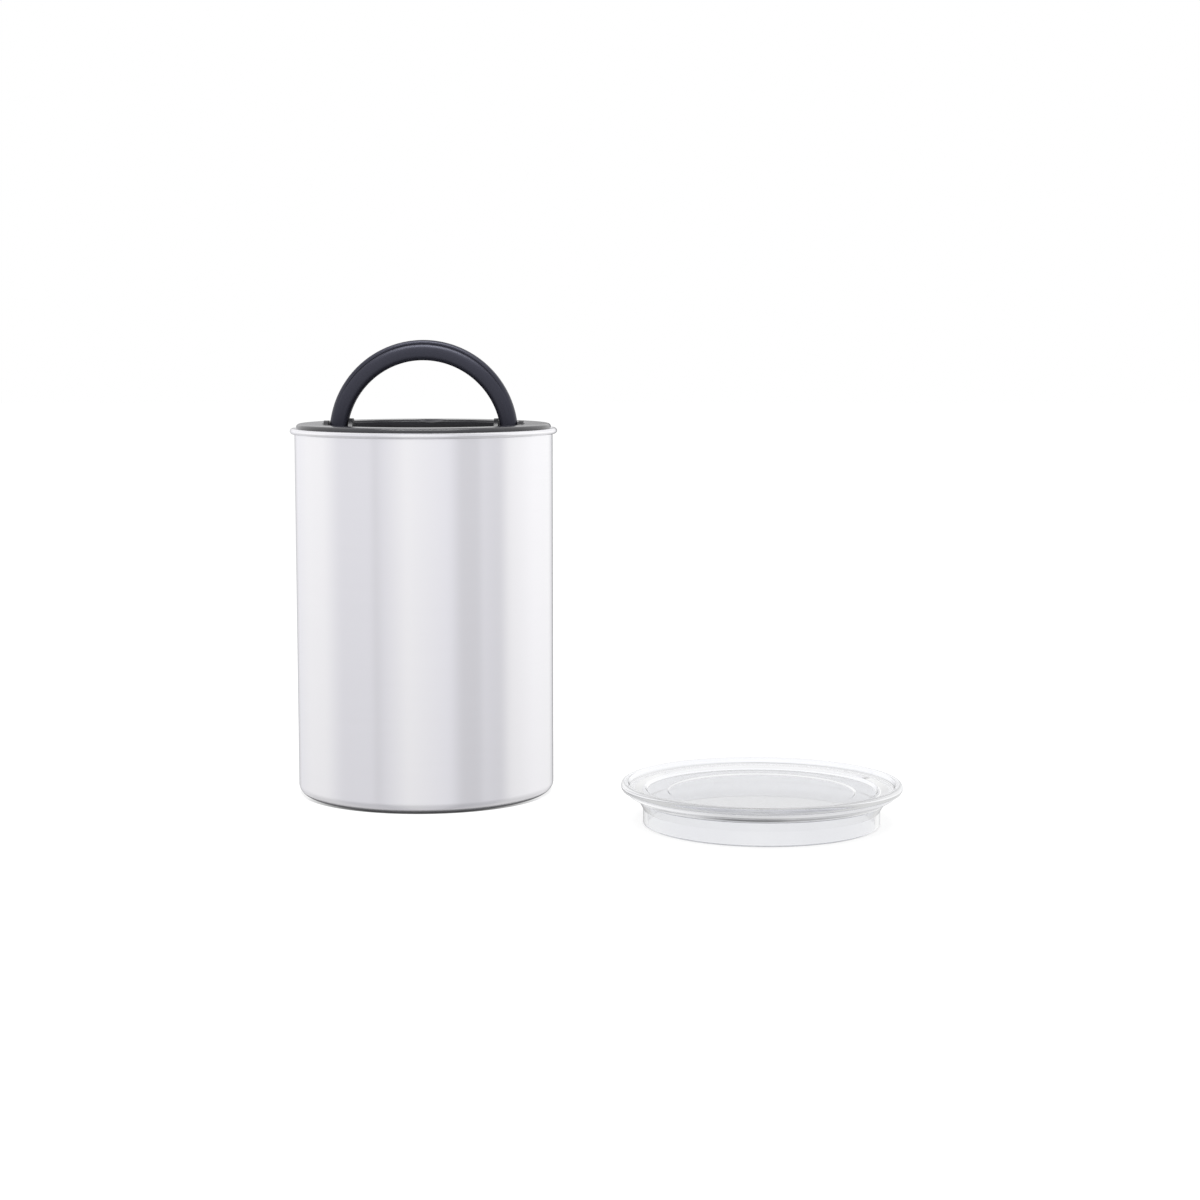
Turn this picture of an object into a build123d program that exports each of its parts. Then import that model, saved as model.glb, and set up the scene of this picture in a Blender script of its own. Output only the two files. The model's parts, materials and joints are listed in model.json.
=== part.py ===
from build123d import *

import os
from math import asin, cos, pi, sin, sqrt

# Coffee canister with a valve: a drawn steel canister, a black inner lid that slides down it
# and vents through a valve worked by its bail handle, and a clear outer lid lying beside it.
# Lengths are in millimetres and angles in degrees. +Z is up, and the origin is on the
# canister's axis, on the surface that it stands on. The front is -Y.

# Canister shell
body_diameter = 125.0
body_height = 178.5
sheet_thickness = 0.5
base_corner_radius = 4.8
curl_radius = 1.35
curl_sweep = 280.0

# Clearances shared by all the pieces
moving_gap = 0.3
running_gap = 0.05
fixed_gap = 0.02
cut_overrun = 1.0

# Clear outer lid
clear_lid_place_x = 160.0
clear_lid_place_y = -79.0
clear_lid_height = 19.0
clear_lid_wall = 2.0
flange_edge_height = 3.5
flange_lip_width = 3.4
flange_lip_slope = 0.7
flange_edge_round = 1.6
dish_shoulder_depth = 2.7
dish_shoulder_width = 7.1
dish_step_depth = 1.5
dish_step_slope = 0.8
dish_ledge_width = 9.4
panel_ring_depth = 0.7
locating_step_gap = 0.4
locating_step_height = 2.0
neck_gap = 3.7
skirt_draw_in = 3.8
skirt_straight_height = 6.9
clear_lid_edge_round = 0.7

# Inner lid: tray, top ring, base plate and gasket
inner_lid_proud = 2.3
top_ring_thickness = 2.8
top_ring_dome = 0.2
top_ring_edge_round = 1.1
top_ring_skirt_height = 4.0
top_ring_skirt_thickness = 0.7
top_ring_ledge_depth = 1.0
top_ring_ledge_width = 0.6
top_ring_width = 13.2
tray_wall = 2.0
tray_floor_thickness = 2.5
notch_half_width = 8.6
notch_depth = 1.8
notch_reach = 5.5
gasket_height = 7.5
gasket_groove_depth = 4.0
gasket_body_thickness = 2.5
gasket_lip_tip = 0.6
gasket_end_gap = 0.1
base_plate_thickness = 2.5
base_plate_inset = 1.8
base_plate_edge_round = 1.0
locating_ring_height = 2.0
locating_ring_thickness = 1.2
vent_count = 8
vent_radius = 1.5
vent_circle_radius = 6.5

# Screws through the base plate
screw_count = 6
screw_boss_bite = 0.35
screw_boss_height = 12.0
screw_radius = 1.2
screw_grip = 8.0
screw_head_radius = 2.3
screw_head_height = 1.3
screw_slot_width = 0.6
screw_slot_depth = 0.6

# Handle and its pivots
handle_side_gap = 2.7
handle_top_thickness = 9.8
handle_leg_thickness = 8.2
handle_depth = 10.0
handle_edge_round = 2.0
handle_groove_inset = 1.1
handle_groove_width = 0.6
handle_groove_depth = 0.6
folded_handle_sink = 0.7
handle_foot_reach = 7.0
handle_foot_nose_radius = 2.2
handle_boss_radius = 4.6
pin_radius = 2.0
pin_head_radius = 3.2
pin_head_thickness = 0.8
pin_bite = 1.3
inner_ear_thickness = 2.0
inner_ear_radius = 8.0
inner_ear_gap = 1.4
ear_foot_half_width = 8.0
outer_ear_radius = 6.9

# Valve
bridge_half_width = 3.0
bridge_thickness = 2.0
bridge_end_inset = 1.3
bridge_window_gap = 0.4
bridge_flange_gap = 0.5
port_radius = 12.0
housing_flange_width = 3.0
housing_flange_thickness = 1.2
housing_seal_thickness = 0.8
housing_wall = 2.5
housing_hub_radius = 3.8
housing_hub_thickness = 2.5
housing_spoke_width = 2.0
housing_spoke_count = 4
seat_thickness = 2.5
seat_width = 2.5
nut_thickness = 3.0
nut_corner_reach = 5.0
spring_length = 5.0
spring_radius = 3.0
spring_wire = 0.7
spring_turns = 3.5
stem_radius = 1.5
stem_head_radius = 2.6
stem_head_height = 1.2
stem_groove_depth = 0.4
disc_lap = 2.0
disc_thickness = 1.2
clip_radius = 2.9
clip_thickness = 0.8
clip_mouth = 1.6
stem_tail = 0.5
stem_end_gap = 0.4

# Sizes that follow from those above
body_radius = body_diameter / 2
bore_radius = body_radius - sheet_thickness
curl_centre_radius = bore_radius + curl_radius
curl_centre_z = body_height - curl_radius
rim_radius = curl_centre_radius + curl_radius

inner_lid_radius = bore_radius - moving_gap
recess_radius = inner_lid_radius - top_ring_width
tray_radius = inner_lid_radius - top_ring_skirt_thickness
ring_top_z = body_height + inner_lid_proud
tray_top_z = ring_top_z - top_ring_thickness
pivot_z = ring_top_z - folded_handle_sink - handle_depth / 2

bridge_top_z = pivot_z - handle_foot_reach - moving_gap
bridge_bottom_z = bridge_top_z - bridge_thickness
valve_travel = handle_foot_reach - handle_depth / 2
housing_top_z = bridge_bottom_z - bridge_flange_gap
housing_flange_bottom_z = housing_top_z - housing_flange_thickness
floor_top_z = housing_flange_bottom_z - housing_seal_thickness
floor_bottom_z = floor_top_z - tray_floor_thickness
hub_top_z = bridge_bottom_z - spring_length
hub_bottom_z = hub_top_z - housing_hub_thickness
seat_z = hub_bottom_z - seat_thickness
disc_top_z = seat_z - valve_travel - moving_gap
disc_bottom_z = disc_top_z - disc_thickness
clip_bottom_z = disc_bottom_z - clip_thickness
stem_end_z = clip_bottom_z - stem_tail
plate_top_z = stem_end_z - stem_end_gap
plate_bottom_z = plate_top_z - base_plate_thickness
groove_top_z = plate_top_z + gasket_height
groove_radius = tray_radius - gasket_groove_depth

handle_outer_radius = recess_radius - handle_side_gap
leg_inner_x = handle_outer_radius - handle_leg_thickness
inner_ear_outer_x = leg_inner_x - inner_ear_gap
inner_ear_inner_x = inner_ear_outer_x - inner_ear_thickness
outer_ear_inner_x = handle_outer_radius + moving_gap
housing_body_radius = port_radius - fixed_gap
housing_flange_radius = port_radius + housing_flange_width
housing_bore_radius = port_radius - housing_wall
seat_bore_radius = housing_bore_radius - seat_width
disc_radius = seat_bore_radius + disc_lap
nut_corner_radius = port_radius + nut_corner_reach
screw_circle_radius = (recess_radius + groove_radius) / 2
screw_boss_radius = (groove_radius - recess_radius) / 2 - tray_wall + screw_boss_bite

BASE = (Align.CENTER, Align.CENTER, Align.MIN)


def turned(corners):
    """Solid of revolution about Z from corners of (radius, height, rounding)."""
    points = [(across, up) for across, up, _ in corners]
    roundings = [rounding for _, _, rounding in corners]
    path = FilletPolyline(*points, radius=roundings, close=True)
    return revolve(Plane.XZ * make_face(path.edges()), Axis.Z)


def disc(radius, low, high):
    """Upright cylinder on the Z axis between two heights."""
    return Pos(0, 0, low) * Cylinder(radius, high - low, align=BASE)


def tube(outer, inner, low, high):
    """Upright round tube on the Z axis between two heights."""
    return disc(outer, low, high) - disc(inner, low - cut_overrun, high + cut_overrun)


def block(low, high):
    """Box between two opposite corners."""
    size = [top - bottom for bottom, top in zip(low, high)]
    middle = [(top + bottom) / 2 for bottom, top in zip(low, high)]
    return Pos(*middle) * Box(*size)


def along_x(sketch, start, end):
    """Solid from a sketch of (y, height above the pivot), between two places along X."""
    return Pos(0, 0, pivot_z) * extrude(Plane.YZ.offset(start) * sketch, end - start)


def both_sides(solid):
    """The solid and its mirror image across the middle plane."""
    return solid + mirror(solid, Plane.YZ)


def around(solid, count, turn=0):
    """Copies of a solid, evenly spaced about the Z axis."""
    return [Rot(0, 0, turn + 360 * step / count) * solid for step in range(count)]


def canister_shell():
    """Flat base, drawn corner and wall, with the rim curled outwards about curl_radius."""
    centre = (curl_centre_radius, curl_centre_z)
    corner_start = body_radius - base_corner_radius
    inner_corner = base_corner_radius - sheet_thickness
    curl_inside = curl_radius - sheet_thickness
    inside_arc = CenterArc(centre, curl_inside, 180, -curl_sweep)
    outside_arc = CenterArc(centre, curl_radius, 180, -curl_sweep)
    edges = [
        Line((0, 0), (corner_start, 0)),
        CenterArc((corner_start, base_corner_radius), base_corner_radius, -90, 90),
        Line((body_radius, base_corner_radius), inside_arc @ 0),
        inside_arc,
        Line(inside_arc @ 1, outside_arc @ 1),
        outside_arc,
        Line(outside_arc @ 0, (bore_radius, base_corner_radius)),
        CenterArc((corner_start, base_corner_radius), inner_corner, -90, 90),
        Line((corner_start, sheet_thickness), (0, sheet_thickness)),
        Line((0, sheet_thickness), (0, 0)),
    ]
    return revolve(Plane.XZ * make_face(edges), Axis.Z)


def clear_lid():
    """Flanged, dished lid whose stepped skirt hangs inside the canister's mouth."""
    top = clear_lid_height
    edge = clear_lid_edge_round
    lip_inner = rim_radius - flange_lip_width
    shoulder_outer = lip_inner - flange_lip_slope
    step_radius = shoulder_outer - dish_shoulder_width
    ledge_outer = step_radius - dish_step_slope
    ledge_inner = ledge_outer - dish_ledge_width
    panel_radius = ledge_inner - dish_step_slope
    neck_radius = bore_radius - neck_gap
    skirt_radius = neck_radius - skirt_draw_in
    shoulder_z = top - dish_shoulder_depth
    step_z = shoulder_z - dish_step_depth
    panel_z = step_z - panel_ring_depth
    flange_z = top - flange_edge_height
    neck_z = flange_z - locating_step_height
    ceiling_z = panel_z - clear_lid_wall
    skirt_inner = skirt_radius - clear_lid_wall
    neck_slope = (neck_radius - skirt_radius) / (neck_z - skirt_straight_height)
    ceiling_radius = skirt_inner + neck_slope * (ceiling_z - skirt_straight_height)
    lid = turned(
        [
            (0, panel_z, 0),
            (panel_radius, panel_z, edge),
            (ledge_inner, step_z, edge),
            (ledge_outer, step_z, edge),
            (step_radius, shoulder_z, edge),
            (shoulder_outer, shoulder_z, edge),
            (lip_inner, top, edge),
            (rim_radius, top, flange_edge_round),
            (rim_radius, flange_z, flange_edge_round),
            (bore_radius - locating_step_gap, flange_z, 0),
            (bore_radius - locating_step_gap, neck_z, edge),
            (neck_radius, neck_z, 0),
            (skirt_radius, skirt_straight_height, edge),
            (skirt_radius, 0, edge),
            (skirt_inner, 0, edge),
            (skirt_inner, skirt_straight_height, edge),
            (ceiling_radius, ceiling_z, edge),
            (0, ceiling_z, 0),
        ]
    )
    return Pos(clear_lid_place_x, clear_lid_place_y, 0) * lid


def finger_notch():
    """Scoop in the back of the ring's inner edge, for a finger under the folded handle."""
    radius = (notch_half_width**2 + notch_depth**2) / (2 * notch_depth)
    scoop = Rot(90, 0, 0) * Cylinder(radius, notch_reach + cut_overrun)
    middle_y = recess_radius + (notch_reach - cut_overrun) / 2
    return Pos(0, middle_y, ring_top_z - notch_depth + radius) * scoop


def inner_lid_top_ring():
    """Domed ring that covers the tray's flange and laps down round it."""
    ledge_z = ring_top_z - top_ring_ledge_depth
    ledge_radius = recess_radius + top_ring_ledge_width
    edge_z = ring_top_z - top_ring_dome
    shoulder_z = edge_z - top_ring_edge_round
    skirt_z = tray_top_z - top_ring_skirt_height
    shoulder_radius = inner_lid_radius - top_ring_edge_round
    dome_radius = (ledge_radius + shoulder_radius) / 2
    outline = [
        Line((recess_radius, tray_top_z), (recess_radius, ledge_z)),
        Line((recess_radius, ledge_z), (ledge_radius, ledge_z)),
        Line((ledge_radius, ledge_z), (ledge_radius, edge_z)),
        ThreePointArc((ledge_radius, edge_z), (dome_radius, ring_top_z), (shoulder_radius, edge_z)),
        CenterArc((shoulder_radius, shoulder_z), top_ring_edge_round, 0, 90),
        Line((inner_lid_radius, shoulder_z), (inner_lid_radius, skirt_z)),
        Line((inner_lid_radius, skirt_z), (tray_radius, skirt_z)),
        Line((tray_radius, skirt_z), (tray_radius, tray_top_z)),
        Line((tray_radius, tray_top_z), (recess_radius, tray_top_z)),
    ]
    return revolve(Plane.XZ * make_face(outline), Axis.Z) - finger_notch()


def inner_ear():
    """Ear inside a leg, on the recess floor, with a window that the bridge passes through."""
    foot_z = floor_top_z - pivot_z - fixed_gap
    half_foot = ear_foot_half_width
    foot = Polyline((-half_foot, foot_z), (half_foot, foot_z))
    ear = along_x(
        make_hull([Circle(inner_ear_radius).edge(), foot.edge()]),
        inner_ear_inner_x,
        inner_ear_outer_x,
    )
    reach = bridge_half_width + bridge_window_gap
    window_top = bridge_top_z + valve_travel + bridge_window_gap
    window = block(
        (inner_ear_inner_x - cut_overrun, -reach, floor_top_z),
        (inner_ear_outer_x + cut_overrun, reach, window_top),
    )
    return ear - window


def outer_ear():
    """Ear outside a leg, which grows out of the recess wall and clears the top ring."""
    foot_z = floor_top_z - pivot_z - fixed_gap
    foot = Polyline((-outer_ear_radius, foot_z), (outer_ear_radius, foot_z))
    ear = along_x(
        make_hull([Circle(outer_ear_radius).edge(), foot.edge()]),
        outer_ear_inner_x,
        recess_radius + tray_wall / 2,
    )
    ear_top_z = pivot_z + outer_ear_radius + cut_overrun
    return ear - tube(rim_radius, recess_radius - fixed_gap, tray_top_z, ear_top_z)


def inner_lid_tray():
    """Moulding with the handle's recess, the gasket groove, the ears and the valve's port."""
    wall_outer = recess_radius + tray_wall
    skirt_inner = tray_radius - tray_wall
    groove_inner = groove_radius - tray_wall
    flange_z = tray_top_z - tray_wall
    shelf_z = groove_top_z + tray_wall
    tray = turned(
        [
            (port_radius, floor_bottom_z, 0),
            (recess_radius, floor_bottom_z, 0),
            (recess_radius, plate_top_z, 0),
            (wall_outer, plate_top_z, 0),
            (wall_outer, flange_z, 0),
            (skirt_inner, flange_z, 0),
            (skirt_inner, shelf_z, 0),
            (groove_inner, shelf_z, 0),
            (groove_inner, plate_top_z, 0),
            (groove_radius, plate_top_z, 0),
            (groove_radius, groove_top_z, 0),
            (tray_radius, groove_top_z, 0),
            (tray_radius, tray_top_z, 0),
            (recess_radius, tray_top_z, 0),
            (recess_radius, floor_top_z, 0),
            (port_radius, floor_top_z, 0),
        ]
    )
    boss = Pos(screw_circle_radius, 0, 0) * disc(
        screw_boss_radius, plate_top_z, plate_top_z + screw_boss_height
    )
    pilot = Pos(screw_circle_radius, 0, 0) * disc(
        screw_radius + fixed_gap, plate_top_z - cut_overrun, plate_top_z + screw_grip + cut_overrun
    )
    tray += around(boss, screw_count)
    tray -= around(pilot, screw_count)
    tray += both_sides(inner_ear() + outer_ear())
    pin_hole = along_x(
        Circle(pin_radius + fixed_gap),
        inner_ear_inner_x - cut_overrun,
        outer_ear_inner_x + pin_bite + fixed_gap,
    )
    return tray - both_sides(pin_hole)


def inner_lid_base_plate():
    """Underside of the inner lid, with vents under the valve and seats for the screws."""
    ring_outer = recess_radius - fixed_gap
    ring_inner = ring_outer - locating_ring_thickness
    plate = turned(
        [
            (0, plate_bottom_z, 0),
            (tray_radius - base_plate_inset, plate_bottom_z, base_plate_edge_round),
            (tray_radius - base_plate_inset, plate_top_z, 0),
            (0, plate_top_z, 0),
        ]
    )
    plate += tube(ring_outer, ring_inner, plate_top_z, plate_top_z + locating_ring_height)
    vent = Pos(vent_circle_radius, 0, 0) * disc(
        vent_radius, plate_bottom_z - cut_overrun, plate_top_z + cut_overrun
    )
    hole = Pos(screw_circle_radius, 0, 0) * disc(
        screw_radius + fixed_gap, plate_bottom_z - cut_overrun, plate_top_z + cut_overrun
    )
    head_seat = Pos(screw_circle_radius, 0, 0) * disc(
        screw_head_radius + moving_gap,
        plate_bottom_z - cut_overrun,
        plate_bottom_z + screw_head_height,
    )
    plate -= around(vent, vent_count)
    return plate - around(hole + head_seat, screw_count)


def base_plate_screws():
    """Slotted screws whose heads lie flush in the base plate."""
    head_top = plate_bottom_z + screw_head_height
    screw = disc(screw_head_radius, plate_bottom_z, head_top)
    screw += disc(screw_radius, head_top, plate_top_z + screw_grip)
    slot = block(
        (-screw_head_radius - cut_overrun, -screw_slot_width / 2, plate_bottom_z - cut_overrun),
        (screw_head_radius + cut_overrun, screw_slot_width / 2, plate_bottom_z + screw_slot_depth),
    )
    return Compound(around(Pos(screw_circle_radius, 0, 0) * (screw - slot), screw_count))


def wiper_gasket():
    """Soft ring in the tray's groove, with two lips that wipe the canister's bore."""
    inner = groove_radius + fixed_gap
    body = inner + gasket_body_thickness
    tip = inner_lid_radius
    low = plate_top_z + gasket_end_gap
    lip_pitch = (gasket_height - 2 * gasket_end_gap) / 2
    lip_half = lip_pitch / 2 - gasket_lip_tip
    corners = [(inner, low), (body, low)]
    for lip in range(2):
        middle = low + lip_pitch * (lip + 1 / 2)
        corners += [
            (body, middle - lip_half),
            (tip, middle),
            (tip, middle + gasket_lip_tip),
            (body, middle + lip_half),
        ]
    corners += [(body, low + 2 * lip_pitch), (inner, low + 2 * lip_pitch)]
    return revolve(Plane.XZ * make_face(Polyline(*corners, close=True)), Axis.Z)


def handle_profile():
    """Side view of the bail as (y, height above the pivot): flat faces over a rounded foot.

    The foot is the cam that presses the bridge down. It runs from a round as wide as the
    bail, about the pivot, down two tangent lines to the nose.
    """
    half = handle_depth / 2
    nose = handle_foot_nose_radius
    nose_drop = handle_foot_reach - nose
    taper = asin((half - nose) / nose_drop)
    top = handle_outer_radius + cut_overrun
    hip = (half * cos(taper), -half * sin(taper))
    toe = (nose * cos(taper), -nose_drop - nose * sin(taper))
    right = [
        Line((half, top), (half, 0)),
        TangentArc((half, 0), hip, tangent=(0, -1)),
        Line(hip, toe),
        TangentArc(toe, (0, -handle_foot_reach), tangent=(toe[0] - hip[0], toe[1] - hip[1])),
    ]
    left = [mirror(edge, Plane.YZ) for edge in right]
    return make_face(right + left + [Line((-half, top), (half, top))])


def handle_groove():
    """Groove along the front of the bail's half circle, just inside its outer edge."""
    half = handle_depth / 2
    outer = handle_outer_radius - handle_groove_inset
    ring = tube(outer, outer - handle_groove_width, half - handle_groove_depth, half + cut_overrun)
    beside_feet = block((-outer, -outer, 0), (outer, 0, handle_depth))
    return Pos(0, 0, pivot_z) * Rot(90, 0, 0) * (ring - beside_feet)


def handle():
    """Half-round bail, with a foot and a pivot bore at the end of each leg."""
    outer = handle_outer_radius
    inner_top = outer - handle_top_thickness
    bottom = -handle_foot_reach - cut_overrun
    outline = [
        Line((outer, bottom), (outer, 0)),
        ThreePointArc((outer, 0), (0, outer), (-outer, 0)),
        Line((-outer, 0), (-outer, bottom)),
        Line((-outer, bottom), (-leg_inner_x, bottom)),
        Line((-leg_inner_x, bottom), (-leg_inner_x, 0)),
        ThreePointArc((-leg_inner_x, 0), (0, inner_top), (leg_inner_x, 0)),
        Line((leg_inner_x, 0), (leg_inner_x, bottom)),
        Line((leg_inner_x, bottom), (outer, bottom)),
    ]
    bail = Pos(0, 0, pivot_z) * extrude(Plane.XZ * make_face(outline), handle_depth, both=True)
    bail = bail & along_x(handle_profile(), -outer - cut_overrun, outer + cut_overrun)
    rims = bail.edges().filter_by(Axis.X, reverse=True).filter_by(Axis.Y, reverse=True)
    bail = fillet(rims, handle_edge_round)
    front_groove = handle_groove()
    bail -= front_groove + mirror(front_groove, Plane.XZ)
    boss = along_x(
        Circle(handle_boss_radius), inner_ear_outer_x + moving_gap, leg_inner_x + handle_edge_round
    )
    bore = along_x(Circle(pin_radius + running_gap), -outer - cut_overrun, outer + cut_overrun)
    return bail + both_sides(boss) - bore


def handle_pin():
    """Pivot pin on the right: headed inside the inner ear, and pushed into the outer one."""
    head = along_x(
        Circle(pin_head_radius), inner_ear_inner_x - pin_head_thickness, inner_ear_inner_x
    )
    return head + along_x(Circle(pin_radius), inner_ear_inner_x, outer_ear_inner_x + pin_bite)


def valve_housing():
    """Flanged sleeve through the floor, with a spoked stem guide over the valve's seat."""
    housing = tube(
        housing_flange_radius, housing_bore_radius, housing_flange_bottom_z, housing_top_z
    )
    housing += tube(housing_body_radius, housing_bore_radius, seat_z, housing_top_z)
    housing += tube(housing_body_radius, seat_bore_radius, seat_z, hub_bottom_z)
    housing += disc(housing_hub_radius, hub_bottom_z, hub_top_z)
    spoke_reach = housing_bore_radius + fixed_gap
    spoke = block(
        (0, -housing_spoke_width / 2, hub_bottom_z),
        (spoke_reach, housing_spoke_width / 2, hub_top_z),
    )
    housing += around(spoke, housing_spoke_count, turn=45)
    return housing - disc(stem_radius + running_gap, seat_z, housing_top_z)


def valve_housing_seal():
    """Flat ring between the housing's flange and the tray's floor."""
    return tube(
        housing_flange_radius, housing_body_radius + fixed_gap, floor_top_z, housing_flange_bottom_z
    )


def valve_nut():
    """Hexagonal nut that draws the housing down from under the floor."""
    hexagon = RegularPolygon(nut_corner_radius, 6)
    nut = Pos(0, 0, floor_bottom_z - nut_thickness) * extrude(hexagon, nut_thickness)
    return nut - disc(housing_body_radius + fixed_gap, floor_bottom_z - nut_thickness, floor_bottom_z)


def valve_bridge():
    """Flat bar under the handle's two feet, with a hole for the stem."""
    end_x = handle_outer_radius - bridge_end_inset
    half = bridge_half_width
    bar = block((-end_x, -half, bridge_bottom_z), (end_x, half, bridge_top_z))
    bar = fillet(bar.edges().filter_by(Axis.Z), bridge_half_width / 2)
    return bar - disc(stem_radius + fixed_gap, bridge_bottom_z, bridge_top_z)


def valve_stem():
    """Headed pin through the bridge, the guide and the disc, grooved for its clip."""
    stem = disc(stem_head_radius, bridge_top_z, bridge_top_z + stem_head_height)
    stem += disc(stem_radius, stem_end_z, bridge_top_z)
    groove = tube(
        stem_radius + cut_overrun, stem_radius - stem_groove_depth, clip_bottom_z, disc_bottom_z
    )
    return stem - groove


def valve_disc():
    """Soft disc under the seat, carried by the stem."""
    return tube(disc_radius, stem_radius + fixed_gap, disc_bottom_z, disc_top_z)


def valve_clip():
    """Open ring in the stem's groove, under the disc."""
    clip = tube(clip_radius, stem_radius - stem_groove_depth + fixed_gap, clip_bottom_z, disc_bottom_z)
    mouth = block(
        (0, -clip_mouth / 2, clip_bottom_z - cut_overrun),
        (clip_radius + cut_overrun, clip_mouth / 2, disc_bottom_z + cut_overrun),
    )
    return clip - mouth


def quarter_turn(start, start_way, end, end_way):
    """Two arcs that leave start and reach end along the given directions (a biarc)."""
    chord = end - start
    ways = start_way + end_way
    bend = 2 * (1 - start_way.dot(end_way))
    along = chord.dot(ways)
    reach = (sqrt(along**2 + bend * chord.dot(chord)) - along) / bend
    middle = (start + start_way * reach + end - end_way * reach) / 2
    first = TangentArc(start, middle, tangent=start_way)
    return [first, TangentArc(middle, end, tangent=first % 1)]


def valve_spring():
    """Open coil about the stem, from the guide's top to the bridge, as one unbroken tube."""
    rise = spring_length - spring_wire - 2 * fixed_gap
    pitch = rise / spring_turns
    low = hub_top_z + spring_wire / 2 + fixed_gap

    def place(turns):
        angle = 2 * pi * turns
        return Vector(spring_radius * cos(angle), spring_radius * sin(angle), low + pitch * turns)

    def way(turns):
        angle = 2 * pi * turns
        circle = 2 * pi * spring_radius
        return Vector(-circle * sin(angle), circle * cos(angle), pitch).normalized()

    steps = [quarter / 4 for quarter in range(round(spring_turns * 4) + 1)]
    arcs = []
    for here, there in zip(steps, steps[1:]):
        arcs += quarter_turn(place(here), way(here), place(there), way(there))
    sample_count = 400
    samples = [place(spring_turns * step / sample_count) for step in range(sample_count + 1)]
    half_turn = round(sample_count / spring_turns / 2)
    nearest = min(
        (samples[first] - samples[later]).length
        for first in range(sample_count)
        for later in range(first + half_turn, sample_count + 1)
    )
    print(f"valve_spring: least gap to itself {nearest - spring_wire:.2f} mm")
    section = Plane(place(0), z_dir=way(0)) * Circle(spring_wire / 2)
    return sweep(section, path=Wire(arcs))


right_pin = handle_pin()
nodes = {
    "canister_shell": canister_shell(),
    "clear_lid": clear_lid(),
    "inner_lid_top_ring": inner_lid_top_ring(),
    "inner_lid_tray": inner_lid_tray(),
    "inner_lid_base_plate": inner_lid_base_plate(),
    "base_plate_screws": base_plate_screws(),
    "wiper_gasket": wiper_gasket(),
    "handle": handle(),
    "handle_pin_right": right_pin,
    "handle_pin_left": mirror(right_pin, Plane.YZ),
    "valve_housing": valve_housing(),
    "valve_housing_seal": valve_housing_seal(),
    "valve_nut": valve_nut(),
    "valve_bridge": valve_bridge(),
    "valve_stem": valve_stem(),
    "valve_disc": valve_disc(),
    "valve_clip": valve_clip(),
    "valve_spring": valve_spring(),
}

os.makedirs("parts", exist_ok=True)
for name, shape in nodes.items():
    export_step(shape, f"parts/{name}.step")
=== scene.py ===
import json
from math import asin, pi, radians, tan

import bmesh
import bpy
import numpy as np
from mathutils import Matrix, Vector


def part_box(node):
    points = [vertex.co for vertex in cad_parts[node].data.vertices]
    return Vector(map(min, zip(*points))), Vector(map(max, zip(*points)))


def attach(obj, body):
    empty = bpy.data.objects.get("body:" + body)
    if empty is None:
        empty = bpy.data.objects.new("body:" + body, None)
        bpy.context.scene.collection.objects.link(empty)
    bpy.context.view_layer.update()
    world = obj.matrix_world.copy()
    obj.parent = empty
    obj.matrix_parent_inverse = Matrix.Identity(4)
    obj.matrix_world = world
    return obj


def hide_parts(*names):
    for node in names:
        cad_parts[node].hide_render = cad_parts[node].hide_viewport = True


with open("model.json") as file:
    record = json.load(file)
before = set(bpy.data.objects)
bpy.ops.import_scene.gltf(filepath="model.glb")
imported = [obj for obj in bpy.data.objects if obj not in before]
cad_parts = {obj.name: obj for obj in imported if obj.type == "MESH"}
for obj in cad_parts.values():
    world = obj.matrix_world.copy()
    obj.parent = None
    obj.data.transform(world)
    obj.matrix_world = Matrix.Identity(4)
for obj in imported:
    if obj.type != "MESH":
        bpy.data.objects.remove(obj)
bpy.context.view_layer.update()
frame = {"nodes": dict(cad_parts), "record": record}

# The camera stands where the ellipses of the rim, the base and the clear lid put it: a long
# lens, level with the raised handle and turned slightly down. All lengths are in metres.
camera_place = (0.0856, -1.1703, 0.2273)
camera_drop_degrees = 6.49
camera_lens_mm = 72.1
camera_data = bpy.data.cameras.new("studio_camera")
camera_data.lens = camera_lens_mm
camera_data.clip_end = 20.0
camera = bpy.data.objects.new("studio_camera", camera_data)
camera.location = camera_place
camera.rotation_euler = (radians(90 - camera_drop_degrees), 0, 0)
bpy.context.collection.objects.link(camera)
bpy.context.scene.camera = camera

# The canister is one deep-drawn sheet of stainless steel. Its base, drawn corner and wall are
# a single skin, brushed round and round on a lathe, and its mouth is curled outwards into a
# small hollow roll.
sheet_thickness = 0.0005
base_corner_radius = 0.0048
curl_radius = 0.00135
curl_sweep_degrees = 280
shell_low, shell_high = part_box("canister_shell")
rim_radius = (shell_high[0] - shell_low[0]) / 2
rim_top = shell_high[2]
bore_radius = rim_radius - 2 * curl_radius
body_radius = bore_radius + sheet_thickness
around_steps = 360


def corner_arc(before, corner, after, radius, steps):
    """Rounds one corner: the arc of the given radius that touches both of its sides.

    The arc starts radius * tan(turn / 2) before the corner, and its points are the centre
    plus the radius along directions that turn evenly from one side's normal to the other's.
    """
    before, corner, after = (np.array(point, float) for point in (before, corner, after))
    way_in = (corner - before) / np.linalg.norm(corner - before)
    way_out = (after - corner) / np.linalg.norm(after - corner)
    turn = np.arctan2(way_in[0] * way_out[1] - way_in[1] * way_out[0], way_in @ way_out)
    side = np.sign(turn)
    start = corner - way_in * radius * tan(abs(turn) / 2)
    centre = start + side * radius * np.array([-way_in[1], way_in[0]])
    first = np.arctan2(*(start - centre)[::-1])
    angles = first + np.linspace(0, turn, steps + 1)
    return centre + radius * np.stack([np.cos(angles), np.sin(angles)], axis=1)


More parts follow.
